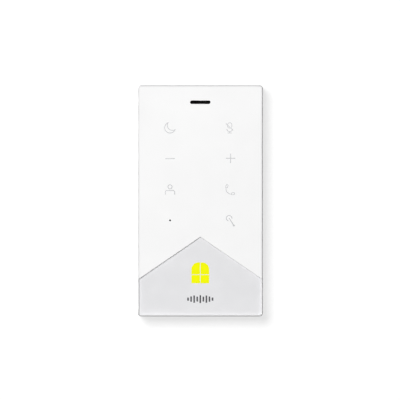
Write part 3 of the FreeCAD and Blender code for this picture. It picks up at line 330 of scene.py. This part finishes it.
LOOKS = {
    "white_housing": housing_white("white_housing"),
    "white_panel": front_white("white_panel"),
    "yellow_guide": yellow_light("yellow_guide"),
    "circuit_board": board_green("circuit_board"),
    "lamp_white": lamp("lamp_white"),
    "copper": wound("copper", linear(196, 118, 62)),
    "transformer_yellow": wound("transformer_yellow", linear(206, 172, 44)),
    "brass_insert": knurled("brass_insert", (0.8, 0.6, 0.28)),
    "bracket_steel": galvanised("bracket_steel"),
}

for name, (colour, roughness, grain, depth, variation, *specular) in PLASTICS.items():
    sockets = {"Specular_IOR_Level": specular[0]} if specular else {}
    LOOKS[name] = moulded(name, linear(*colour), roughness, grain, depth * MM, variation, **sockets)

for name, finish in METALS.items():
    LOOKS[name] = metal(name, *finish)


def dress(piece, look):
    """Give a piece one material on its whole surface."""
    piece.data.materials.clear()
    piece.data.materials.append(look.material)


for part in frame["record"]["subparts"]:
    dress(nodes[part["node"]], LOOKS[part["material_slot"]])


# ---------------------------------------------------------------- broken edges

SHARP_ANGLE = math.radians(50)
WELD_REACH = 0.002 * MM
EDGES = {
    "wall_bracket": 0.12 * MM,
    "terminal_plug": 0.1 * MM,
    "terminal_header": 0.1 * MM,
    "network_jack_shell": 0.08 * MM,
    "network_jack_insert": 0.06 * MM,
    "case_screws": 0.08 * MM,
    "lock_screw": 0.1 * MM,
    "reset_button": 0.08 * MM,
}


def break_edges(piece, width):
    """Break the sharp edges of a piece: its faces are joined first, then bevelled."""
    weld = piece.modifiers.new("weld", "WELD")
    weld.merge_threshold = WELD_REACH
    bevel = piece.modifiers.new("bevel", "BEVEL")
    bevel.width = width
    bevel.segments = 2
    bevel.limit_method = "ANGLE"
    bevel.angle_limit = SHARP_ANGLE


for name, width in EDGES.items():
    break_edges(nodes[name], width)


# ---------------------------------------------------------------- stage

WHITE = (1.0, 1.0, 1.0, 1.0)
PAPER = linear(250, 250, 250)
WALL_GAP = 0.1 * MM
WALL_HALF_WIDTH = 2
WALL_TOP = 2
WALL_GLOW = 0.55
WALL_PAINT = 0.55
FLOOR_LEVEL = -0.26
FLOOR_HALF_WIDTH = 4
FLOOR_GLOW = 0.92


def stage_plane(name, corners, look):
    """A flat four-cornered piece of the stage, which throws no light back on the part."""
    mesh = bpy.data.meshes.new(name)
    mesh.from_pydata(corners, [], [(0, 1, 2, 3)])
    made = bpy.data.objects.new(name, mesh)
    bpy.context.scene.collection.objects.link(made)
    dress(made, look)
    made.visible_diffuse = False
    made.visible_glossy = False
    return made


def wall_paint():
    """Bright white paint on one side only: from behind, the wall is open."""
    look = Look("wall_paint", 0.9, Specular_IOR_Level=0.0, Emission_Color=WHITE,
                Emission_Strength=WALL_GLOW)
    paint = shade(WHITE, WALL_PAINT)
    look.paint(look.noise(30, 3), (0.3, shade(paint, 0.995)), (0.7, paint))
    behind = look.node("ShaderNodeNewGeometry").outputs["Backfacing"]
    mix = look.node("ShaderNodeMixShader", Fac=behind)
    look.feed(mix.inputs[1], look.shader.outputs[0])
    look.feed(mix.inputs[2], look.node("ShaderNodeBsdfTransparent").outputs[0])
    look.feed(look.tree.nodes["Material Output"].inputs["Surface"], mix.outputs[0])
    return look


def make_stage():
    """A one-sided wall behind the part and a pale floor below it."""
    side, back = WALL_HALF_WIDTH, high[1] + WALL_GAP
    wall = stage_plane("stage_wall", [(-side, back, FLOOR_LEVEL), (side, back, FLOOR_LEVEL),
                                      (side, back, WALL_TOP), (-side, back, WALL_TOP)],
                       wall_paint())
    wall.visible_shadow = False
    wall.visible_transmission = False
    reach = FLOOR_HALF_WIDTH
    paper = moulded("floor_paper", PAPER, 0.8, 900, 0.02 * MM, 0.01, Emission_Color=PAPER,
                    Emission_Strength=FLOOR_GLOW)
    stage_plane("stage_floor", [(-reach, -reach, FLOOR_LEVEL), (reach, -reach, FLOOR_LEVEL),
                                (reach, reach, FLOOR_LEVEL), (-reach, reach, FLOOR_LEVEL)], paper)


# ---------------------------------------------------------------- light and camera

# Square area lights aimed at the part: position, size and power in watts.
LIGHTS = {
    "front_light": ((-0.05, -8.5, 0.1), 0.3, 179),
    "key_light": ((-0.6, -2.2, 0.6), 0.85, 33),
    "left_light": ((-2.4, -0.35, 0.1), 0.7, 5),
    "top_light": ((-0.5, 0.12, 2.3), 0.7, 12),
    "rear_light": ((-1.5, 2.2, 0.6), 1.2, 44),
    "right_light": ((2.4, -0.5, 0.1), 0.7, 8.5),
}
STUDIO_LIGHT = 0.1
VIEW_WIDTH = 0.2747
VIEW_CENTRE = -0.2 * MM, 0.48 * MM
CAMERA_DISTANCE = 8.0
SENSOR_WIDTH = 36.0


def add_object(name, data, position, rotation):
    """Put a light or a camera in the scene."""
    made = bpy.data.objects.new(name, data)
    made.location = position
    made.rotation_euler = rotation
    bpy.context.scene.collection.objects.link(made)
    return made


def make_lights():
    """A far frontal light, a soft key from the upper left, and low light on the other sides."""
    for name, (position, size, power) in LIGHTS.items():
        light = bpy.data.lights.new(name, "AREA")
        light.size = size
        light.energy = power
        aim = (-Vector(position)).to_track_quat("-Z", "Y").to_euler()
        add_object(name, light, position, aim).visible_camera = False


def make_world():
    """A world that the camera sees as white and that lights the part faintly from all round."""
    world = bpy.data.worlds.new("studio")
    world.use_nodes = True
    tree = world.node_tree
    background = tree.nodes["Background"]
    background.inputs["Color"].default_value = WHITE
    seen = tree.nodes.new("ShaderNodeLightPath").outputs["Is Camera Ray"]
    level = tree.nodes.new("ShaderNodeMapRange")
    level.inputs["To Min"].default_value = STUDIO_LIGHT
    level.inputs["To Max"].default_value = 1.0
    tree.links.new(seen, level.inputs["Value"])
    tree.links.new(level.outputs["Result"], background.inputs["Strength"])
    bpy.context.scene.world = world


def make_camera():
    """Long lens, straight on, framed by the width of its view at the front of the part."""
    data = bpy.data.cameras.new("camera")
    data.sensor_width = SENSOR_WIDTH
    data.lens = SENSOR_WIDTH * CAMERA_DISTANCE / VIEW_WIDTH
    across, up = VIEW_CENTRE
    position = across, low[1] - CAMERA_DISTANCE, up
    bpy.context.scene.camera = add_object("camera", data, position, (math.pi / 2, 0.0, 0.0))


make_stage()
make_lights()
make_world()
make_camera()
bpy.context.scene.view_settings.view_transform = "Standard"
